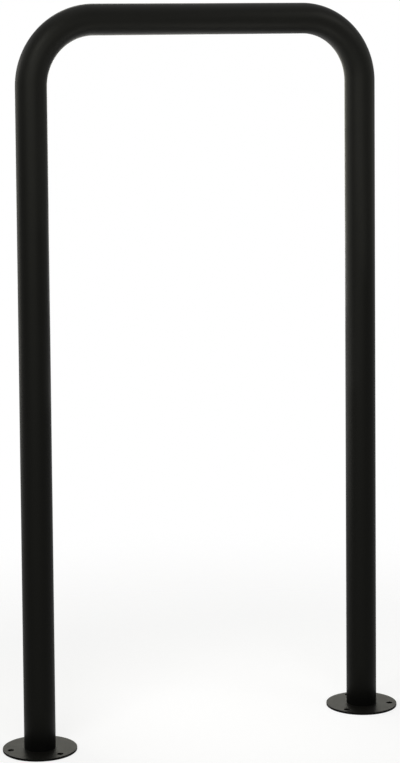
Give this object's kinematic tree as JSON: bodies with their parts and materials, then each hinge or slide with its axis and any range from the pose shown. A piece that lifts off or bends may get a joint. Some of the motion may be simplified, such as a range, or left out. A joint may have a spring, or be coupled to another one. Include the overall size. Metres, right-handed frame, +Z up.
{
  "type": "hoop bike rack",
  "caption": "Floor-standing bike rack made of one round steel tube bent into an upturned U, on two round bolt-down base flanges.",
  "frame": {"origin": "on the ground, midway between the two legs, under the middle of the top bar", "axes": "+Z up; +X along the hoop, from the left leg to the right leg; +Y across it, away from the side that the picture shows"},
  "size_m": [0.5826, 0.1, 1],
  "materials": {
    "hoop_coat": "matte to satin black powder coat with a fine texture, on steel tube",
    "flange_coat": "matte to satin black powder coat with a fine texture, on steel plate",
    "weld_coat": "black powder coat over a rippled weld bead"
  },
  "bodies": {
    "root": {"hoop_tube": "hoop_coat", "left_base_flange": "flange_coat", "right_base_flange": "flange_coat", "left_weld_bead": "weld_coat", "right_weld_bead": "weld_coat"}
  },
  "joints": []
}
